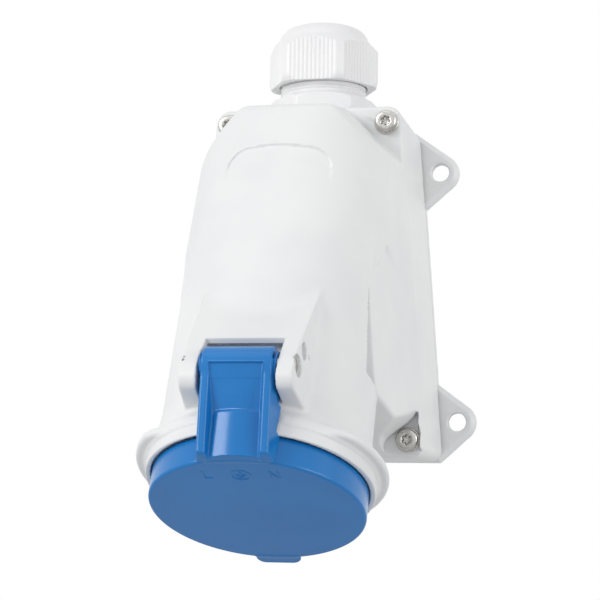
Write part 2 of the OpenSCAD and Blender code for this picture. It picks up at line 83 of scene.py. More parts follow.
def outUp(y, z):
    y = y - tube["faceY"]
    z = z - tube["faceZ"]
    return z * tiltSin - y * tiltCos, y * tiltSin + z * tiltCos


def fromOutUp(x, out, up):
    return np.stack([x + 0 * out, tube["faceY"] + up * tiltSin - out * tiltCos,
                     tube["faceZ"] + up * tiltCos + out * tiltSin], -1)


# Inside all of several shapes, given by their distances, with sharp edges
def inAll(*distances):
    return reduce(np.maximum, distances)


# Inside any of several shapes, with sharp inner corners
def inAny(*distances):
    return reduce(np.minimum, distances)


# Both distances inside: the edge where the two surfaces meet is a round of radius r
def roundCut(a, b, r):
    return np.minimum(np.maximum(a, b), -r) + np.hypot(np.maximum(a + r, 0), np.maximum(b + r, 0))


# Either distance inside: the inner corner where they meet is a fillet of radius r
def roundJoin(a, b, r):
    return np.maximum(np.minimum(a, b), r) - np.hypot(np.maximum(r - a, 0), np.maximum(r - b, 0))


# Either distance inside, for surfaces that meet at a shallow angle: a parabola of width k bridges them
def softJoin(a, b, k):
    near = np.maximum(k - np.abs(a - b), 0) / k
    return np.minimum(a, b) - near * near * k * 0.25


# Slabs are given by the distance from their middle, less half their thickness
def slab(value, middle, half):
    return np.abs(value - middle) - half


# How far a value has come from one place to another, held between 0 and 1
def share(value, start, length):
    return np.clip((value - start) / length, 0, 1)


def makeObject(name, verts, faces):
    mesh = bpy.data.meshes.new(name)
    mesh.from_pydata((verts * mm).tolist(), [], faces)
    mesh.polygons.foreach_set("use_smooth", np.ones(len(mesh.polygons), bool))
    obj = bpy.data.objects.new(name, mesh)
    scene.collection.objects.link(obj)
    return obj


# The mouldings have blended fillets that run into each other, which no one grid or swept profile gives,
# so each is the zero surface of a distance field. The field is sampled on a grid near the surface, each
# cell that the surface crosses gets one point at the mean of its edge crossings, points of cells round a
# crossed edge make a face, and the points are then moved along the slope until the distance is nought.
sampling = {"block": 8, "reach": 1.3, "batch": 1500, "rounds": 3, "normalSpan": 0.12}


def gridPoints(counts):
    return np.stack(np.meshgrid(*[np.arange(n) for n in counts], indexing="ij"), -1).reshape(-1, 3)


# Gradient of a distance field from four samples on the corners of a tetrahedron
def fieldSlope(field, p, h):
    corners = np.array([[1, -1, -1], [-1, -1, 1], [-1, 1, -1], [1, 1, 1]], np.float32)
    total = np.zeros_like(p)
    for c in corners:
        total += c * field(*(p + h * c).T)[:, None]
    return total / (4 * h)


# Values at the corners of the cells in blocks whose middle lies near the surface, and which cells those are.
# The reach is well past half a block's diagonal, because a blend can overstate a distance.
def sampleField(field, low, high, step):
    block = sampling["block"]
    blocks = np.ceil((np.array(high) - low) / (step * block)).astype(int)
    grid = gridPoints(blocks)
    mid = (low + (grid + 0.5) * block * step).astype(np.float32)
    grid = grid[np.abs(field(*mid.T)) < sampling["reach"] * block * step]
    corners = gridPoints([block + 1] * 3)
    values = np.ones(blocks * block + 1, np.float32)
    kept = np.zeros(blocks * block, bool)
    keptBlocks = kept.reshape(blocks[0], block, blocks[1], block, blocks[2], block)
    keptBlocks[grid[:, 0], :, grid[:, 1], :, grid[:, 2], :] = True
    for part in np.array_split(grid, max(1, len(grid) // sampling["batch"])):
        at = (part[:, None, :] * block + corners[None]).reshape(-1, 3)
        p = (low + at * step).astype(np.float32)
        values[tuple(at.T)] = field(*p.T)
    return values, kept


# The point of each crossed cell, and a table of the points' numbers by cell, with -1 for a cell without one
def cellPoints(values, kept, low, step):
    nx, ny, nz = kept.shape
    inside = values < 0
    count = sum(inside[a:a + nx, b:b + ny, c:c + nz].astype(np.int8) for a, b, c in gridPoints((2, 2, 2)))
    crossed = (count > 0) & (count < 8) & kept
    cell = np.argwhere(crossed)
    number = np.full(kept.shape, -1, np.int32)
    number[crossed] = np.arange(len(cell))
    total = np.zeros((len(cell), 3), np.float32)
    hits = np.zeros((len(cell), 1), np.float32)
    for along in np.eye(3, dtype=int):
        for first in gridPoints(2 - along):
            va = values[tuple((cell + first).T)]
            vb = values[tuple((cell + first + along).T)]
            hit = (va < 0) != (vb < 0)
            t = np.where(hit, va / np.where(hit, va - vb, 1), 0)
            total += hit[:, None] * (first + t[:, None] * along)
            hits += hit[:, None]
    return (low + (cell + total / hits) * step).astype(np.float32), number


# The face about each crossed edge, turned so that it looks outward
def cellFaces(values, number):
    inside = values < 0
    size = number.shape
    faces = []
    for axis in range(3):
        one, two = (axis + 1) % 3, (axis + 2) % 3
        edge = np.argwhere(np.diff(inside, axis=axis))
        a, b = edge[:, one], edge[:, two]
        edge = edge[(a > 0) & (b > 0) & (a < size[one]) & (b < size[two])]
        quad = []
        for a, b in ((1, 1), (0, 1), (0, 0), (1, 0)):
            at = edge.copy()
            at[:, one] -= a
            at[:, two] -= b
            quad.append(number[tuple(at.T)])
        quad = np.stack(quad, 1)
        turned = ~inside[tuple(edge.T)]
        quad[turned] = quad[turned][:, ::-1]
        faces.append(quad[(quad >= 0).all(1)])
    return np.concatenate(faces)


def thinOut(obj, triangles):
    thin = obj.modifiers.new("thin", "DECIMATE")
    thin.ratio = triangles / (2 * len(obj.data.polygons))
    bpy.context.view_layer.update()
    mesh = bpy.data.meshes.new_from_object(obj.evaluated_get(bpy.context.evaluated_depsgraph_get()))
    obj.modifiers.clear()
    obj.data = mesh


# Shading normals from the field's own slope, so that the thinned faces don't show
def fieldNormals(mesh, field):
    co = np.empty(3 * len(mesh.vertices), np.float32)
    mesh.vertices.foreach_get("co", co)
    slope = fieldSlope(field, co.reshape(-1, 3) / mm, sampling["normalSpan"])
    slope /= np.maximum(np.linalg.norm(slope, axis=1), 1e-6)[:, None]
    mesh.polygons.foreach_set("use_smooth", np.ones(len(mesh.polygons), bool))
    mesh.normals_split_custom_set_from_vertices(slope.tolist())


def fieldSurface(name, field, low, high, step, triangles):
    low = np.array(low, np.float32)
    values, kept = sampleField(field, low, high, step)
    verts, number = cellPoints(values, kept, low, step)
    faces = cellFaces(values, number)
    for k in range(sampling["rounds"]):
        slope = fieldSlope(field, verts, 0.1 * step)
        steep = np.maximum((slope ** 2).sum(1), 0.25)
        move = -(field(*verts.T) / steep)[:, None] * slope
        verts += np.clip(move, -0.5 * step, 0.5 * step)
    obj = makeObject(name, verts, faces.tolist())
    if 2 * len(faces) > triangles:
        thinOut(obj, triangles)
    fieldNormals(obj.data, field)
    print(name, "made:", len(faces), "cells,", len(obj.data.polygons), "faces kept")
    return obj


hood = {
    "halfWidth": 34.75, "taper": 0.07647, "halfHeight": 56.5, "corner": 4.5, "back": 5.0, "padDepth": 46.5,
    "wall": 3.0, "screwsUp": (25.95, 51.0), "screwsDown": (33.75, -51.0), "glandY": -22.0,
    "midDepth": 90.0, "midLean": 0.147, "midBack": 30.0,
    "bendOut": 13.0, "bendUp": 75.0, "bendFall": 0.12,            # where the middle body's front bends back
    "underY": -87.4, "underZ": -41.0, "underFall": 0.357,         # its underside
    "crownRise": 1.6, "diagonal": 48.4, "diagonalDraft": 0.07,    # the top and its slanting walls
    "labelHalf": 16.5, "labelTop": 107.4, "labelLow": 95.5, "labelFade": 9.0, "labelDeep": 0.75,
    "creaseOut": 4.2, "creaseRise": 0.118, "creaseTop": 72.0, "creaseFall": 0.6,
    "grooveIn": 27.8, "grooveTop": 88.0, "blendLow": 0.4, "blendMore": 2.6, "blendTall": 8.0,
    "step": 0.56, "triangles": 195000,
}
sideSlant = math.hypot(1, hood["taper"])

# The roof falls from the housing's top to the tube's front rim
rimUp = tube["end"] + hood["crownRise"]
rimY = tube["faceY"] + rimUp * tiltSin - tube["radius"] * tiltCos
rimZ = tube["faceZ"] + rimUp * tiltCos + tube["radius"] * tiltSin
roofFall = (hood["halfHeight"] - rimZ) / (-hood["padDepth"] - rimY)
roofCos = math.cos(math.atan(roofFall))


# Distance to the housing's tapered side, seen from the front
def sideView(x, z):
    return (x + hood["taper"] * z - hood["halfWidth"]) / sideSlant


# Tapered rectangle with round corners, seen from the front
def frontView(x, z):
    return roundCut(sideView(x, z), np.abs(z) - hood["halfHeight"], hood["corner"])


# Distance from the nearest cover screw's axis
def screwAxis(x, z):
    sx = np.where(z > 0, hood["screwsUp"][0], hood["screwsDown"][0])
    return np.hypot(x - sx, np.abs(z) - hood["screwsUp"][1])


# Directions and places are those of the right-hand screw, from its axis
screwRoom = {"edgeWay": (-0.594, 0.804), "edgeOff": 4.2, "tailWay": (-0.957, 0.290), "tailAt": (2.25, 5.5),
             "inward": 7.4, "sideLeft": 0.9, "endLeft": 1.0, "none": 9.0}


# Room for a lower screw, seen from the front: a slanting edge above it that runs up the side in a tail
def leafView(x, z):
    r = screwRoom
    sx, sz = hood["screwsDown"]
    edge = r["edgeWay"][1] * (z - sz) + r["edgeWay"][0] * (x - sx) - r["edgeOff"]
    tail = r["tailWay"][1] * (z - sz - r["tailAt"][1]) + r["tailWay"][0] * (x - sx - r["tailAt"][0])
    leaf = roundCut(softJoin(edge, tail, 2.4), sx - r["inward"] - x, 1.6)
    leaf = roundCut(leaf, sideView(x, z) + r["sideLeft"], 0.8)
    leaf = roundCut(leaf, -z - hood["halfHeight"] + r["endLeft"], 1.8)
    return np.where(z < 0, leaf, r["none"])


# Middle body: leaning sides, a front that bends back along the tube, and room for the lower screws
def middleBody(x, y, z, out, up, under):
    h = hood
    ahead = -y - h["padDepth"]
    lean = math.hypot(sideSlant, h["midLean"])
    side = (x + h["taper"] * z + h["midLean"] * ahead - h["halfWidth"]) / lean
    bend = out - h["bendOut"] + h["bendFall"] * (up - h["bendUp"])
    mid = roundCut(roundCut(side, under, 1.2), roundCut(-y - h["midDepth"], bend, 4.0), 1.2)
    mid = inAll(mid, y + h["midBack"], frontView(x, z))
    return roundCut(mid, -np.maximum(leafView(x, z), -ahead), 0.6)


# The top: a roof that falls to the front, with a slanting wall to each side of it for the upper screws
def hoodTop(x, y, z):
    ahead = -y - hood["padDepth"]
    roof = (z - hood["halfHeight"] + roofFall * ahead) * roofCos
    slant = (x + z) * math.sqrt(0.5) - hood["diagonal"] + hood["diagonalDraft"] * ahead
    return roundCut(slant, roof, 1.6)


# The tube, with a shallow label panel that runs out towards its lower end, and a groove that opens
# downwards between the tube and the middle body's front edge
def hoodTube(x, out, up, rad, under):
    h = hood
    label = roundCut(x - h["labelHalf"], up - h["labelTop"], 6.5)
    fade = share(up, h["labelLow"], h["labelFade"])
    sunk = h["labelDeep"] * fade * np.clip(-label / 0.5, 0, 1) * (out > 0)
    pipe = np.maximum(rad - tube["radius"] + sunk, mouth["flangeUp"] - up)
    crease = h["creaseOut"] + h["creaseRise"] * up - h["creaseFall"] * np.clip(up - h["creaseTop"], 0, 40)
    groove = inAll(out - crease, h["grooveIn"] - x, under, up - h["grooveTop"])
    return roundCut(pipe, -groove, 0.3)


# Tube and middle body, which melt together above the crease, under the top, and the skirt behind them
def hoodShell(x, y, z, out, up, rad):
    h = hood
    under = (h["underZ"] - z - h["underFall"] * (y - h["underY"])) / math.hypot(1, h["underFall"])
    blend = h["blendLow"] + h["blendMore"] * share(up, h["creaseTop"], h["blendTall"])
    front = softJoin(hoodTube(x, out, up, rad, under), middleBody(x, y, z, out, up, under), blend)
    skirt = roundCut(frontView(x, z), -y - h["padDepth"], 1.4)
    return softJoin(roundCut(front, hoodTop(x, y, z), 1.5), skirt, 0.5)


mouth = {
    "flange": 36.8, "flangeUp": 11.4, "flangeThick": 2.6,
    "flangeFrom": 0.66, "flangeOver": 0.34,                       # radians from the front, where it runs out
    "lipIn": 31.7, "lipOut": 33.4, "lipUp": 7.3, "lipLap": 1.7, "lipSwing": 0.7,
    "flare": 24.0, "flareTall": 13.0, "neckTop": 40.0, "nose": 27.4, "noseUp": 4.7, "noseTop": 13.0,
}


# Flange, the lip round the lid and the nose inside it. The flange runs out into the tube towards the hinge,
# where the lip also leaves the lid room to swing.
def mouthField(x, out, up, rad):
    m = mouth
    flared = (m["lipOut"] - tube["radius"]) * np.clip((m["flare"] - up) / m["flareTall"], 0, 1)
    neck = inAll(rad - tube["radius"] - flared, m["flangeUp"] - up, up - m["neckTop"])
    half = m["flangeThick"] / 2
    away = share(np.arctan2(x, out), m["flangeFrom"], m["flangeOver"])
    wide = m["lipOut"] + (m["flange"] - m["lipOut"]) * away * away * (3 - 2 * away)
    flange = roundCut(rad - wide, slab(up, m["flangeUp"] + half, half), 1.1)
    lipIn = m["lipIn"] + m["lipSwing"] * np.clip(out / tube["radius"], 0, 1) ** 2
    tall = (m["flangeUp"] + m["lipLap"] - m["lipUp"]) / 2
    lip = roundCut(np.maximum(rad - m["lipOut"], lipIn - rad), slab(up, m["lipUp"] + tall, tall), 0.35)
    nose = np.maximum(roundCut(rad - m["nose"], m["noseUp"] - up, 0.4), up - m["noseTop"])
    return np.minimum(roundJoin(roundJoin(flange, neck, 1.8), lip, 1.2), nose)


hinge = {
    "pinOut": 37.9, "pinUp": 25.15, "pinHole": 2.52, "pinHoleIn": 9.0, "sink": 3.1, "sinkFrom": 15.4,
    "half": 16.05, "draft": 0.082, "low": 17.15, "inward": 20.0,
    "knuckleOut": 42.6, "knuckleUp": 23.65, "cowlSlope": 0.5,
    "recessHalf": 11.3, "recessTop": 33.85, "recessIn": 31.6, "notchHalf": 12.4, "notchLap": 0.8,
    "ceilingOut": 35.2, "ceilingRise": 0.8, "slotTop": 36.3,
    "core": (34.2, 32.1), "coreRadius": 2.4, "coreIn": 14.2,
    "dot": (29.6, 32.8), "dotRadius": 0.55, "dotIn": 16.2,
}


# Round hole along X about a place given as out and up, from a distance x on
def crossHole(x, out, up, place, radius, start):
    return np.maximum(np.hypot(out - place[0], up - place[1]) - radius, start - x)


# Hinge bracket on a body: a cowl that falls towards the tube, with round-nosed knuckles and drafted cheeks,
# less the arm's recess, the notch in the flange, the pin's sinks and the moulding holes in the cheeks
def withBracket(body, x, out, up):
    b = hinge
    cowl = (out - b["knuckleOut"] + b["cowlSlope"] * (up - b["knuckleUp"])) / math.hypot(1, b["cowlSlope"])
    knuckle = roundCut(roundCut(cowl, out - b["knuckleOut"], 2.0), b["low"] - up, 4.2)
    cheek = x - b["half"] - b["draft"] * (b["knuckleOut"] - out)
    body = softJoin(body, np.maximum(roundCut(knuckle, cheek, 0.7), b["inward"] - out), 1.4)
    slot = np.maximum(out - b["ceilingOut"], up - b["slotTop"])
    ceiling = np.minimum(up - b["recessTop"] - b["ceilingRise"] * (out - b["ceilingOut"]), slot)
    recess = inAll(x - b["recessHalf"], b["recessIn"] - out, ceiling)
    notch = inAll(x - b["notchHalf"], b["recessIn"] - out, up - b["low"] + b["notchLap"])
    body = roundCut(body, -np.minimum(recess, notch), 0.35)
    pin = np.hypot(out - b["pinOut"], up - b["pinUp"])
    sink = np.maximum(np.where(x > b["sinkFrom"], pin - b["sink"], pin - b["pinHole"]), b["pinHoleIn"] - x)
    core = crossHole(x, out, up, b["core"], b["coreRadius"], b["coreIn"])
    dot = crossHole(x, out, up, b["dot"], b["dotRadius"], b["dotIn"])
    return np.maximum(body, -inAny(sink, core, dot))


hollow = {
    "bore": 25.5, "seat": 46.0, "ringBore": 20.3, "ring": 4.0, "tubeKept": 30.5,
    "keyHalf": 3.0, "keyOut": -15.0, "keyDeep": 11.6, "keyUp": 20.0, "keyTall": 22.0,
    "column": 5.2, "columnY": -12.3, "screwHole": 2.25, "bossRoom": 3.6, "entry": 12.6, "entryLow": 40.0,
}


# Mouth bore with the insert's seat and keyway, and the wiring space behind, with the screw columns left
# standing in it; then the screw holes, the cable entry and the open back
def hollowed(body, shell, x, y, z, out, up, rad):
    c = hollow
    ring = np.maximum(rad - c["ringBore"], slab(up, c["seat"] + c["ring"] / 2, c["ring"]))
    bore = np.minimum(np.maximum(rad - c["bore"], up - c["seat"]), ring)
    key = inAll(x - c["keyHalf"], slab(out, c["keyOut"], c["keyDeep"]), slab(up, c["keyUp"], c["keyTall"]))
    body = roundCut(body, -np.minimum(bore, key), 0.3)
    screw = screwAxis(x, z)
    tubeKept = np.maximum(rad - c["tubeKept"], up - c["seat"] - c["ring"])
    column = np.maximum(screw - c["column"], y - c["columnY"])
    space = inAll(shell + hood["wall"], -tubeKept, -column)
    hole = np.minimum(screw - c["screwHole"], np.maximum(screw - c["bossRoom"], c["columnY"] - y))
    entry = np.maximum(np.hypot(x, y - hood["glandY"]) - c["entry"], c["entryLow"] - z)
    return roundCut(inAll(body, -space, -hole, -entry), y + hood["back"], 0.3)


def hoodField(px, y, z):
    x = np.abs(px)
    out, up = outUp(y, z)
    rad = np.hypot(x, out)
    shell = hoodShell(x, y, z, out, up, rad)
    body = withBracket(np.minimum(shell, mouthField(x, out, up, rad)), x, out, up)
    return hollowed(body, shell, x, y, z, out, up, rad)


hoodPiece = fieldSurface("hoodMoulding", hoodField, (-40.3, -138.2, -77.0), (40.3, -3.6, 58.6),
                         hood["step"], hood["triangles"])

lid = {
    "radius": 31.4, "low": -0.5, "height": 8.1, "face": 3.0, "wall": 2.4, "edge": 0.8,
    "crestFoot": 35.2, "crestTop": 43.2, "crestIn": 7.7, "crestOut": 10.0,    # the ribs' front edge
    "draftIn": 0.27, "draftOut": 0.22, "draftDeep": 7.0, "armHalf": 10.9, "footHalf": 11.7, "footTop": 15.5,
    "footLift": 0.05, "armIn": 32.2, "armLap": 1.6, "backLap": 0.3,
    "webHalf": 8.0, "webTop": 0.4, "webFall": 0.245, "webLap": 0.3,           # upper web, below that edge
    "lowWeb": 1.12, "lowRise": 0.08, "lowCrown": 36.0, "lowTop": 12.3,        # lower web, a step higher
    "swell": 0.45, "swellCrown": 60.0, "swellUp": 20.0, "swellTall": 4.0,
    "barrel": 5.5, "barHalf": 9.9, "barLow": 23.6,
    "boss": 4.2, "bossAt": 10.68, "bossHalf": 0.27, "bossRoot": 3.3, "bossRootHalf": 10.6,
    "tabHalf": 6.8, "tabOut": 3.6, "tabCorner": 3.0, "tabLap": 2.0,
    "step": 0.36, "triangles": 150000,
}


# Cup with its seal seat
def cupField(rad, up):
    half = (lid["height"] - lid["low"]) / 2
    cup = roundCut(rad - lid["radius"], slab(up, lid["low"] + half, half), lid["edge"])
    return roundCut(cup, -np.maximum(rad - lid["radius"] + lid["wall"], lid["face"] - up), 0.3)


# Two drafted ribs, a stepped web that is crowned between them, and the hinge bar with its barrel and bosses
def armField(x, out, up, pin):
    a = lid
    pinUp = hinge["pinUp"]
    foot = a["low"] + a["footLift"] - up
    run = a["crestTop"] - a["crestFoot"]
    crest = ((out - a["crestFoot"]) * pinUp - up * run) / math.hypot(run, pinUp)
    deep = np.clip(-crest, 0, a["draftDeep"])
    widest = np.where(up < a["footTop"], a["footHalf"], a["armHalf"])
    outside = np.minimum(a["crestOut"] + a["draftOut"] * deep, widest)
    sides = np.maximum(a["crestIn"] - a["draftIn"] * deep - x, x - outside)
    behind = np.maximum(a["radius"] - a["armLap"] - out, up - a["height"] + a["backLap"])
    ends = inAll(foot, up - pinUp, np.minimum(a["armIn"] - out, behind))
    rib = np.maximum(roundCut(roundCut(crest, sides, 0.6), foot, 0.6), ends)
    sunk = crest + a["webTop"] + a["webFall"] * np.clip(a["barLow"] - up, 0, 30)
    low = roundCut(crest + a["lowWeb"] + a["lowRise"] * up + x * x / a["lowCrown"], up - a["lowTop"], 0.7)
    swell = np.clip((a["swellUp"] - up) / a["swellTall"], 0, 1)
    swell = swell * np.clip(a["swell"] - x * x / a["swellCrown"], 0, 1)
    web = softJoin(low, np.maximum(sunk - swell, up - a["barLow"] - a["webLap"]), 0.5)
    arm = softJoin(rib, inAll(web, x - a["webHalf"], ends), 0.5)
    bar = roundCut(roundCut(crest, a["barLow"] - up, 0.5), x - a["barHalf"], 0.4)
    bar = inAll(bar, up - pinUp, a["armIn"] - out)
    barrel = roundCut(pin - a["barrel"], x - a["barHalf"], 0.4)
    barrel = np.maximum(barrel, -inAll(-sunk, x - a["crestIn"], up - a["barLow"]))
    root = np.maximum(pin - a["bossRoot"], x - a["bossRootHalf"])
    boss = roundCut(pin - a["boss"], slab(x, a["bossAt"], a["bossHalf"]), 0.15)
    return softJoin(arm, inAny(bar, barrel, root, boss), 0.4)


# Finger tab on the side away from the hinge
def tabField(x, out, up):
    tab = roundCut(x - lid["tabHalf"], -out - lid["radius"] - lid["tabOut"], lid["tabCorner"])
    half = (lid["face"] - lid["low"]) / 2
    tab = roundCut(tab, slab(up, lid["low"] + half, half), 0.7)
    return np.maximum(tab, out + lid["radius"] - lid["tabLap"])


springRoom = {"half": 5.2, "pocket": 4.35, "mouth": 4.2, "mouthIn": 30.0,
              "channelOut": 35.1, "channelIn": 31.9, "channelUp": -2.05, "channelTall": 7.55, "pin": 2.55}


# Pin bore, the pocket of the spring's coil with its mouth to the back, and the channel of its leg
def springField(x, out, up, pin):
    s = springRoom
    pinOut, pinUp = hinge["pinOut"], hinge["pinUp"]
    opening = inAll(out - pinOut, slab(up, pinUp, s["mouth"]), s["mouthIn"] - out)
    pocket = np.maximum(np.minimum(pin - s["pocket"], opening), x - s["half"])
    channel = inAll(out - s["channelOut"], slab(up, pinUp + s["channelUp"], s["channelTall"]), x - s["half"],
                    s["channelIn"] - out)
    return inAny(pin - s["pin"], pocket, channel)


def lidField(px, y, z):
    x = np.abs(px)
    out, up = outUp(y, z)
    pin = np.hypot(out - hinge["pinOut"], up - hinge["pinUp"])
    cup = cupField(np.hypot(x, out), up)
    withArm = softJoin(cup, armField(x, out, up, pin), 0.4)
    withTab = roundJoin(cup, tabField(x, out, up), 0.5)
    return np.maximum(np.minimum(withArm, withTab), -springField(x, out, up, pin))


lidPiece = fieldSurface("lidMoulding", lidField, (-32.6, -146.5, -91.5), (32.6, -76.0, -29.5),
                        lid["step"], lid["triangles"])

plate = {
    "thick": 4.0, "edge": 1.5, "holesUp": (37.4, 42.4), "holesDown": (43.6, -42.8), "hole": 3.05,
    "earRadius": 6.3, "earRoot": 12.7, "earLap": 6.0, "rimIn": 4.0, "rimHalf": 0.7, "rimTall": 2.5,
    "boss": 3.3, "bossTop": 12.0, "pilot": 2.05, "pilotFloor": 2.0, "step": 0.5, "triangles": 90000,
}


# Signed distance in the wall plane to an ear: two tangent lines from the body's side to a round end
def earField(x, z, hole):
    r = plate["earRadius"]
    normals = []
    for s in (1, -1):
        rootZ = hole[1] + s * plate["earRoot"]
        dx, dz = hood["halfWidth"] - hood["taper"] * rootZ - hole[0], rootZ - hole[1]
        turn = math.atan2(dz, dx) - s * math.acos(r / math.hypot(dx, dz))
        normals.append((math.cos(turn), math.sin(turn)))
    (ux, uz), (lx, lz) = normals
    dx, dz = x - hole[0], z - hole[1]
    sector = (lx * dz - lz * dx >= 0) & (dx * uz - dz * ux >= 0)
    d = np.where(sector, np.hypot(dx, dz), np.maximum(dx * ux + dz * uz, dx * lx + dz * lz)) - r
    return np.maximum(d, hood["halfWidth"] - hood["taper"] * hole[1] - plate["earLap"] - x)


# Plate and ears with a chamfered front edge, the rim that centres the hood, screw bosses and wall holes
def plateField(px, y, z):
    p = plate
    x = np.abs(px)
    front = frontView(x, z)
    ears = np.minimum(earField(x, z, p["holesUp"]), earField(x, z, p["holesDown"]))
    flat = np.minimum(front, np.maximum(ears, np.abs(z) - hood["halfHeight"]))
    sheet = roundCut(flat, -y - p["thick"], 0.3)
    sheet = roundCut(sheet, (flat - y - p["thick"] + p["edge"]) * math.sqrt(0.5), 0.2)
    rim = np.maximum(slab(front, -p["rimIn"], p["rimHalf"]), -y - p["thick"] - p["rimTall"])
    screw = screwAxis(x, z)
    body = inAny(sheet, rim, np.maximum(screw - p["boss"], -y - p["bossTop"]))
    body = np.maximum(body, -np.maximum(screw - p["pilot"], y + p["pilotFloor"]))
    for hole in (p["holesUp"], p["holesDown"]):
        body = roundCut(body, p["hole"] - np.hypot(x - hole[0], z - hole[1]), 0.35)
    return np.maximum(body, y)


platePiece = fieldSurface("wallPlate", plateField, (-52.0, -13.2, -58.2), (52.0, 1.2, 58.2),
                          plate["step"], plate["triangles"])


def fullTurn(count):
    return np.linspace(0, 2 * math.pi, count, endpoint=False)


# Points, quads and end triangles of rings that follow each other along a profile. The last ring is joined
# to the first, or both ends are closed by a pole.
def ringMesh(rings, loop=False):
    rows, around = rings.shape[:2]
    verts = rings.reshape(-1, 3)
    index = np.arange(rows * around).reshape(rows, around)
    a = index if loop else index[:-1]
    b = np.roll(index, -1, 0)[:len(a)]
    quads = np.stack([a, np.roll(a, -1, 1), np.roll(b, -1, 1), b], -1).reshape(-1, 4)
    if loop:
        return verts, quads, np.zeros((0, 3), int)
    pole = np.full(around, rows * around)
    ends = [np.stack([np.roll(index[0], -1), index[0], pole], -1),
            np.stack([index[-1], np.roll(index[-1], -1), pole + 1], -1)]
    return np.concatenate([verts, rings[[0, -1]].mean(1)]), quads, np.concatenate(ends)


# One object from one or more ring meshes
def ringObject(name, *made):
    start = np.cumsum([0] + [len(verts) for verts, quads, ends in made])
    quads = np.concatenate([m[1] + s for m, s in zip(made, start)])
    ends = np.concatenate([m[2] + s for m, s in zip(made, start)])
    return makeObject(name, np.concatenate([m[0] for m in made]), quads.tolist() + ends.tolist())


# Radius of a hexagon of given width across flats, by angle from a face's middle, and the way along the face
def hexRadius(angle, flats):
    local = (angle + math.pi / 6) % (math.pi / 3) - math.pi / 6
    return flats / 2 / np.cos(local), np.tan(local) * flats / 2


# Rings about the gland's upright axis, from the radius and height of each point by ring and angle
def glandRings(radius, height, angle):
    y = radius * np.sin(angle) + hood["glandY"]
    return np.stack([radius * np.cos(angle), y, height[:, None] + 0 * radius], -1)


nut = {
    "low": 68.2, "top": 88.7, "flats": 33.4, "turn": 28.0, "corner": 18.6, "chamfer": 0.8, "chamferRise": 1.3,
    "flutes": 11, "fluteHalf": 7.9, "fluteDeep": 0.34, "shoulder": 80.5, "coneFall": 0.91,
    "domeLow": 84.0, "domeAt": 81.5, "domeTall": 7.25, "domeIn": 9.8, "domeWide": 5.9,
    "mouth": 9.7, "mouthLow": 86.1, "thread": 14.4, "threadTop": 80.0,
}


# Polar radius along a profile: the least of a fluted hexagon, a shoulder cone and a dome, then the bore
def makeNut(n):
    z = np.concatenate([[n["low"]], np.linspace(n["low"] + 0.15, n["threadTop"], 8),
                        np.linspace(n["threadTop"] + 0.2, n["domeLow"] + 0.2, 36),
                        np.linspace(n["domeLow"] + 0.4, n["top"] - 0.1, 18)])
    bulge = np.sqrt(np.clip(1 - ((z - n["domeAt"]) / n["domeTall"]) ** 2, 0, 1))
    cone = n["corner"] - n["coneFall"] * np.clip(z - n["shoulder"], 0, 9)
    limit = np.where(z > n["domeLow"], n["domeIn"] + n["domeWide"] * bulge, cone)
    limit = np.minimum(limit, n["corner"] - n["chamfer"] + (z - n["low"]) * n["chamferRise"])
    angle = fullTurn(792)
    flat, along = hexRadius(angle - math.radians(n["turn"]), n["flats"])
    pitch = 2 * n["fluteHalf"] / n["flutes"]
    wave = 0.5 - 0.5 * np.cos(2 * math.pi * (along / pitch + 0.5))
    flat = flat - n["fluteDeep"] * np.where(np.abs(along) < n["fluteHalf"], wave, 0)
    outer = softJoin(limit[:, None], flat[None], 0.25)
    m, t = n["mouth"], n["thread"]
    inside = np.array([[m + 0.8, n["top"] + 0.02], [m + 0.3, n["top"] - 0.04], [m + 0.02, n["top"] - 0.4],
                       [m, n["mouthLow"]], [t, n["threadTop"]], [t, n["low"] + 0.8],
                       [t + 0.6, n["low"] + 0.15], [t + 0.8, n["low"]]])
    radius = np.concatenate([outer, np.repeat(inside[:, :1], len(angle), 1)])
    rings = glandRings(radius, np.concatenate([z, inside[:, 1]]), angle)
    return ringObject("glandNutFluted", ringMesh(rings, loop=True))


nutPiece = makeNut(nut)

glandBody = {
    "collarLow": 57.7, "collarTop": 63.8, "flats": 31.2, "turn": 42.0, "cornerLow": 17.2, "cornerTop": 16.4,
    "neck": 14.35, "neckTop": 77.0, "finger": 12.85, "pitch": 1.5, "threadDeep": 0.45,
    "entry": 12.5, "entryLow": 46.4, "passage": 9.0, "seal": 11.7, "top": 80.0,
    "sealSeat": 65.6,   # low enough to leave the seal its travel
}


# Depth of a one-start thread, from 0 to 1, by height and angle
def threadWave(z, angle, pitch):
    return 0.5 + 0.5 * np.cos(2 * math.pi * (z[:, None] / pitch - angle[None] / 2 / math.pi))


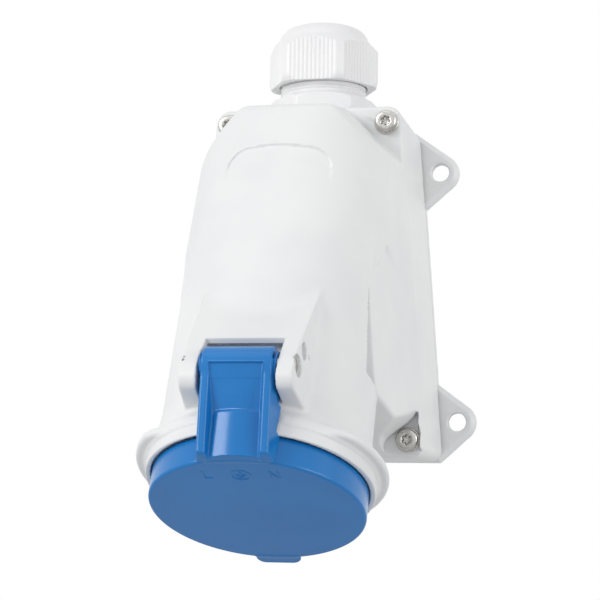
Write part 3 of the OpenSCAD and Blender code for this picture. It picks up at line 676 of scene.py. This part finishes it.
# Polar radius along a profile: threaded entry, chamfered hexagon collar, threaded neck, then down the passage
def makeGlandBody(g):
    low, top, start = g["collarLow"], g["collarTop"], g["entryLow"]
    angle = fullTurn(240)
    z = np.concatenate([[start, start + 0.02], np.linspace(start + 0.4, low - 0.02, 45)])
    fade = np.clip((low - 0.6 - z[:, None]) * 2, 0, 1)
    entry = g["entry"] - g["threadDeep"] * threadWave(z, angle, g["pitch"]) * fade
    entry = entry - np.clip(start + 0.4 - z[:, None], 0, 1)
    zc = np.concatenate([low + np.array([0, 0.01, 0.35, 0.9, 1.4]),
                         top - np.array([1.4, 0.9, 0.5, 0.2, 0.02, 0])])
    limit = np.minimum(g["cornerLow"] + (zc - low) * 1.2, g["cornerTop"] + (top - zc) * 1.7)
    collar = softJoin(limit[:, None], hexRadius(angle - math.radians(g["turn"]), g["flats"])[0][None], 0.3)
    collar[0] = g["entry"]
    zn = np.linspace(top + 0.01, g["neckTop"] - 0.2, 88)
    fade = np.clip((zn[:, None] - top - 0.2) * 2, 0, 1)
    neck = g["neck"] - g["threadDeep"] * threadWave(zn, angle, g["pitch"]) * fade
    inside = np.array([[g["finger"], g["neckTop"]], [g["finger"], g["top"] - 0.2],
                       [g["finger"] - 0.25, g["top"]], [g["seal"] + 0.05, g["top"]],
                       [g["seal"], g["sealSeat"]], [g["passage"], g["sealSeat"] - 0.02],
                       [g["passage"], start + 0.3], [g["passage"] + 0.3, start]])
    radius = np.concatenate([entry, collar, neck, np.repeat(inside[:, :1], len(angle), 1)])
    rings = glandRings(radius, np.concatenate([z, zc, zn, inside[:, 1]]), angle)
    return ringObject("glandBodyThreaded", ringMesh(rings, loop=True))


glandPiece = makeGlandBody(glandBody)

coverScrew = {"head": 3.5, "shank": 2.0, "length": 44.3, "seat": 47.3, "drive": 1.45, "lobe": 0.2,
              "turns": (17, 41, 8, 29), "washer": 3.95, "washerBore": 2.15, "washerLow": 46.5}
screwSpots = [(s * p[0], p[1]) for p in (hood["screwsUp"], hood["screwsDown"]) for s in (-1, 1)]


# A turned profile: from the tip up the shank, over a round-edged head and down a six-lobed recess
def makeCoverScrews(s):
    angle = fullTurn(96)
    r, tip = s["shank"], -s["length"]
    shank = [[0.2, tip], [r - 0.6, tip], [r, tip + 1], [r, 0]]
    cut = np.array([[0.2, 0], [0.03, 0.12], [0, 1.2], [0.03, 1.7], [0.18, 2.05], [0.5, 2.3], [1, 2.42],
                    [1.5, 2.46], [1.7, 2.42]])
    profile = np.concatenate([shank, [s["head"], 0] + cut * [-1, 1]])[:, :, None] + 0 * angle
    lobes = s["drive"] + s["lobe"] * np.cos(6 * angle)
    sink = np.array([[1.04, 2.36], [1.0, 2.2], [1.0, 0.5], [0.95, 0.42], [0.4, 0.15], [0.05, 0.1]])
    radius = np.concatenate([profile[:, 0], sink[:, :1] * lobes])
    height = np.concatenate([profile[:, 1], sink[:, 1:] + 0 * angle])
    made = []
    for (px, pz), turn in zip(screwSpots, s["turns"]):
        a = angle + math.radians(turn)
        rings = np.stack([px + radius * np.cos(a), -s["seat"] - height, pz + radius * np.sin(a)], -1)
        made.append(ringMesh(rings))
    return ringObject("coverScrewSet", *made)


# Flat ring with rolled edges: a rounded rectangle turned about the screw's axis
def makeWashers(s):
    angle = fullTurn(72)
    b, w, t = s["washerBore"], s["washer"], s["seat"] - s["washerLow"]
    section = np.array([[b, 0.1], [b + 0.1, 0], [w - 0.15, 0], [w - 0.03, 0.06], [w, 0.2], [w, t - 0.3],
                        [w - 0.06, t - 0.12], [w - 0.2, t - 0.02], [w - 0.4, t], [b + 0.2, t], [b, t - 0.2]])
    radius, height = section[:, :1], section[:, 1:]
    made = []
    for px, pz in screwSpots:
        rings = np.stack([px + radius * np.cos(angle), -s["washerLow"] - height + 0 * angle,
                          pz + radius * np.sin(angle)], -1)
        made.append(ringMesh(rings, loop=True))
    return ringObject("coverWasherSet", *made)


pinShape = {"radius": 2.5, "half": 15.7, "chamfer": 0.4}


# Straight pin with chamfered ends: circles along the hinge's axis
def makePin(p):
    angle = fullTurn(64)
    x = np.array([-p["half"], -p["half"] + p["chamfer"], p["half"] - p["chamfer"], p["half"]])[:, None]
    r = np.array([p["radius"] - p["chamfer"], p["radius"], p["radius"], p["radius"] - p["chamfer"]])[:, None]
    rings = fromOutUp(x + 0 * angle, hinge["pinOut"] + r * np.cos(angle), hinge["pinUp"] + r * np.sin(angle))
    return ringObject("hingePinTurned", ringMesh(rings))


screwPiece = makeCoverScrews(coverScrew)
washerPiece = makeWashers(coverScrew)
pinPiece = makePin(pinShape)
print("gland, screws and pin made")

marks = {"half": 0.3, "lift": 0.22, "tall": 4.2, "wide": 2.4, "ring": 2.7,
         "spots": ((-9.5, 22.6), (0.0, 22.3), (9.5, 22.6)),
         "stem": (1.8, 0.1), "bars": ((1.6, 0.1), (1.0, -0.75), (0.5, -1.6))}   # bars: half width and height


# Raised line on the lid's face: an oval section carried along a path and drawn in to a point at both ends
def strokeMesh(path):
    path = np.asarray(path, float)
    step = np.linalg.norm(np.diff(path, axis=0), axis=1)
    far = np.concatenate([[0], np.cumsum(step)])
    ends = 0.35 * marks["half"] * np.array([0, 0.1, 0.4, 1.0, 1.9, 2.8])
    middle = np.linspace(ends[-1], far[-1] - ends[-1], max(3, int(far[-1] / 0.25)))
    at = np.unique(np.concatenate([ends, middle, far[-1] - ends]))
    mid = np.stack([np.interp(at, far, path[:, k]) for k in (0, 1)], -1)
    ahead = np.gradient(mid, axis=0)
    ahead /= np.linalg.norm(ahead, axis=1)[:, None]
    edge = np.minimum(np.minimum(at, far[-1] - at) / ends[-1], 1)
    full = np.sqrt(np.clip(1 - (1 - edge) ** 2, 0.0004, 1))[:, None]
    angle = fullTurn(16)
    x = mid[:, :1] - ahead[:, 1:] * marks["half"] * full * np.cos(angle)
    out = mid[:, 1:] + ahead[:, :1] * marks["half"] * full * np.cos(angle)
    return ringMesh(fromOutUp(x, out, lid["low"] + marks["lift"] * full * np.sin(angle)))


# The three terminal letters and signs that such sockets carry by rule: L, the earth sign in its ring, N
def makeMarks(m):
    (lx, lo), (ex, eo), (nx, no) = m["spots"]
    h, w = m["tall"] / 2, m["wide"] / 2
    turn = np.linspace(0, 2 * math.pi, 60)
    paths = [[(lx - w, lo + h), (lx - w, lo - h)], [(lx - w, lo - h), (lx + w, lo - h)]]
    paths.append(np.stack([ex + m["ring"] * np.sin(turn), eo + m["ring"] * np.cos(turn)], -1))
    paths.append([(ex, eo + place) for place in m["stem"]])
    paths += [[(ex - half, eo + place), (ex + half, eo + place)] for half, place in m["bars"]]
    corners = [(nx - w, no - h), (nx - w, no + h), (nx + w, no - h), (nx + w, no + h)]
    paths += [corners[k:k + 2] for k in range(3)]
    return ringObject("lidMarks", *[strokeMesh(path) for path in paths])


markPiece = makeMarks(marks)
print("marks made")


def hexLinear(code):
    c = np.array([int(code[i:i + 2], 16) for i in (1, 3, 5)]) / 255
    lin = np.where(c <= 0.04045, c / 12.92, ((c + 0.055) / 1.055) ** 2.4)
    return (*lin.tolist(), 1.0)


# Adds one node, sets its properties or unlinked sockets, and links sockets that are given as outputs;
# a socket is named by its label, or as i and its number
def addNode(tree, kind, **settings):
    node = tree.nodes.new(kind)
    for key, value in settings.items():
        if key in node.bl_rna.properties:
            setattr(node, key, value)
            continue
        numbered = key[0] == "i" and key[1:].isdigit()
        socket = node.inputs[int(key[1:])] if numbered else node.inputs[key.replace("_", " ")]
        if isinstance(value, bpy.types.NodeSocket):
            tree.links.new(value, socket)
        else:
            socket.default_value = value
    return node


def newMaterial(name):
    mat = bpy.data.materials.new(name)
    mat.use_nodes = True
    mat.node_tree.nodes.clear()
    return mat, mat.node_tree


# Colour that goes from a finish's dark tone to its light one as a pattern rises through a range
def twoTone(tree, pattern, f, low, high):
    ramp = addNode(tree, "ShaderNodeValToRGB", Fac=pattern)
    for element, place, tone in zip(ramp.color_ramp.elements, (low, high), (f["dark"], f["light"])):
        element.position = place
        element.color = hexLinear(tone)
    return ramp.outputs["Color"]


# Pattern of a size in mm, whose values lie between 0 and 1
def noise(tree, vector, size, detail):
    node = addNode(tree, "ShaderNodeTexNoise", Vector=vector, Scale=1 / (size * mm), Detail=detail)
    return node.outputs["Fac"]


# Clouds and grain are sizes in mm, and lift is the bump's strength
cloudSize = 35.0
finishes = {
    "housing": {"light": "#E9EAEA", "dark": "#E2E3E4", "rough": (0.36, 0.48), "grain": 0.7, "lift": 0.05,
                "ior": 1.53},
    "gland": {"light": "#EEEEEE", "dark": "#E7E7E9", "rough": (0.30, 0.42), "grain": 0.7, "lift": 0.03,
              "ior": 1.53},
    "lid": {"light": "#1478C2", "dark": "#1072BA", "rough": (0.17, 0.25), "grain": 0.8, "lift": 0.05,
            "ior": 1.44},   # low, so that the white room greys it less
    "insert": {"light": "#3A3D40", "dark": "#2C2E31", "rough": (0.45, 0.6), "grain": 0.6, "lift": 0.08,
               "ior": 1.55},
    "rubber": {"light": "#2B2B2C", "dark": "#1F1F20", "rough": (0.65, 0.85), "grain": 0.5, "lift": 0.12,
               "ior": 1.5},
}


# Injection-moulded plastic or rubber: an even colour with a faint cloud from mixing and flow, a satin skin
# whose gloss wanders a little, and a fine eroded-tool grain; the grain is drawn coarser than life to show
def mouldedFinish(name, f):
    mat, tree = newMaterial(name)
    coord = addNode(tree, "ShaderNodeTexCoord").outputs["Object"]
    colour = twoTone(tree, noise(tree, coord, cloudSize, 3.0), f, 0.35, 0.65)
    grain = noise(tree, coord, f["grain"], 2.0)
    rough = addNode(tree, "ShaderNodeMapRange", Value=grain, i3=f["rough"][0], i4=f["rough"][1])
    bump = addNode(tree, "ShaderNodeBump", Height=grain, Strength=f["lift"], Distance=0.2 * mm)
    shader = addNode(tree, "ShaderNodeBsdfPrincipled", Base_Color=colour, IOR=f["ior"],
                     Roughness=rough.outputs["Result"], Normal=bump.outputs["Normal"])
    addNode(tree, "ShaderNodeOutputMaterial", Surface=shader.outputs["BSDF"])
    return mat


metals = {
    "steel": {"light": "#D2D0CC", "dark": "#B4B2AE", "rough": (0.18, 0.34)},
    "brass": {"light": "#D2B067", "dark": "#BC9749", "rough": (0.20, 0.36)},
}
toolLines = {"size": 0.9, "stretch": 6.0, "lift": 0.08}


# Turned or cold-headed metal: bright, with fine tool lines across it that stretch the gloss
def turnedFinish(name, f):
    mat, tree = newMaterial(name)
    coord = addNode(tree, "ShaderNodeTexCoord").outputs["Object"]
    stretch = addNode(tree, "ShaderNodeMapping", Vector=coord, Scale=(1.0, 1.0, toolLines["stretch"]))
    lines = noise(tree, stretch.outputs["Vector"], toolLines["size"], 3.0)
    rough = addNode(tree, "ShaderNodeMapRange", Value=lines, i3=f["rough"][0], i4=f["rough"][1])
    bump = addNode(tree, "ShaderNodeBump", Height=lines, Strength=toolLines["lift"], Distance=0.1 * mm)
    shader = addNode(tree, "ShaderNodeBsdfPrincipled", Base_Color=twoTone(tree, lines, f, 0.3, 0.7),
                     Metallic=1.0, Roughness=rough.outputs["Result"], Normal=bump.outputs["Normal"])
    addNode(tree, "ShaderNodeOutputMaterial", Surface=shader.outputs["BSDF"])
    return mat


slotFinish = {
    "housing_plastic": mouldedFinish("polyamide moulded light grey", finishes["housing"]),
    "gland_plastic": mouldedFinish("polyamide gland white", finishes["gland"]),
    "lid_plastic": mouldedFinish("polyamide moulded blue", finishes["lid"]),
    "insert_plastic": mouldedFinish("thermoset insert dark grey", finishes["insert"]),
    "seal_rubber": mouldedFinish("EPDM rubber", finishes["rubber"]),
    "stainless_steel": turnedFinish("stainless steel cold headed", metals["steel"]),
    "contact_brass": turnedFinish("brass turned", metals["brass"]),
}
for part in frame["record"]["subparts"]:
    mesh = nodes[part["node"]].data
    mesh.materials.clear()
    mesh.materials.append(slotFinish[part["material_slot"]])
print("materials made")

dressed = [
    (hoodPiece, "housing", "housing_plastic", "hood"),
    (platePiece, "housing", "housing_plastic", "wall_plate"),
    (lidPiece, "lid", "lid_plastic", "lid"),
    (nutPiece, "nut", "gland_plastic", "gland_nut"),
    (glandPiece, "housing", "gland_plastic", "gland_body"),
    (screwPiece, "housing", "stainless_steel", "cover_screws"),
    (washerPiece, "housing", "stainless_steel", "cover_washers"),
    (pinPiece, "housing", "stainless_steel", "hinge_pin"),
    (markPiece, "lid", "lid_plastic", None),
]
for obj, body, slotName, node in dressed:
    obj.data.materials.append(slotFinish[slotName])
    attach(obj, body)
    if node:
        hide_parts(node)

# Places and sizes here are in metres
studio = {
    "floorZ": -0.2, "floorHalf": 1.0, "floor": "#DCDCDC", "fill": 0.52, "aim": (0, -0.06, 0),
    "lamps": [
        {"name": "keyLeft", "place": (-1.12, -1.31, 0.645), "size": 0.8, "watts": 15.5},
        {"name": "softRight", "place": (1.70, -0.61, 0.19), "size": 1.2, "watts": 11.5},
        {"name": "softTop", "place": (-0.13, -0.81, 1.63), "size": 1.2, "watts": 2.4},
    ],
}


def makeFloor(s):
    z, w = s["floorZ"], s["floorHalf"]
    mesh = bpy.data.meshes.new("studioFloor")
    mesh.from_pydata([(-w, -w, z), (w, -w, z), (w, w, z), (-w, w, z)], [], [(0, 1, 2, 3)])
    floor = bpy.data.objects.new("studioFloor", mesh)
    scene.collection.objects.link(floor)
    mat, tree = newMaterial("matt white paper")
    shader = addNode(tree, "ShaderNodeBsdfPrincipled", Base_Color=hexLinear(s["floor"]), Roughness=0.9)
    addNode(tree, "ShaderNodeOutputMaterial", Surface=shader.outputs["BSDF"])
    mesh.materials.append(mat)


# White where it is seen, mirrored or looked at through something, and dimmer as a fill light
def makeWorld(s):
    world = bpy.data.worlds.new("studioWorld")
    scene.world = world
    world.use_nodes = True
    tree = world.node_tree
    tree.nodes.clear()
    path = addNode(tree, "ShaderNodeLightPath").outputs
    seen = path["Is Camera Ray"]
    for ray in ("Is Glossy Ray", "Is Transmission Ray"):
        seen = addNode(tree, "ShaderNodeMath", operation="MAXIMUM", i0=seen, i1=path[ray]).outputs[0]
    strength = addNode(tree, "ShaderNodeMapRange", Value=seen, i3=s["fill"], i4=1.0)
    light = addNode(tree, "ShaderNodeBackground", Color=(1, 1, 1, 1), Strength=strength.outputs["Result"])
    addNode(tree, "ShaderNodeOutputWorld", Surface=light.outputs["Background"])


def makeLamp(lamp, target):
    data = bpy.data.lights.new(lamp["name"], "AREA")
    data.energy = lamp["watts"]
    data.size = lamp["size"]
    obj = bpy.data.objects.new(lamp["name"], data)
    obj.location = lamp["place"]
    aim = Vector(target) - Vector(lamp["place"])
    obj.rotation_euler = aim.to_track_quat("-Z", "Y").to_euler()
    scene.collection.objects.link(obj)


makeFloor(studio)
makeWorld(studio)
for lamp in studio["lamps"]:
    makeLamp(lamp, studio["aim"])
print("studio made")
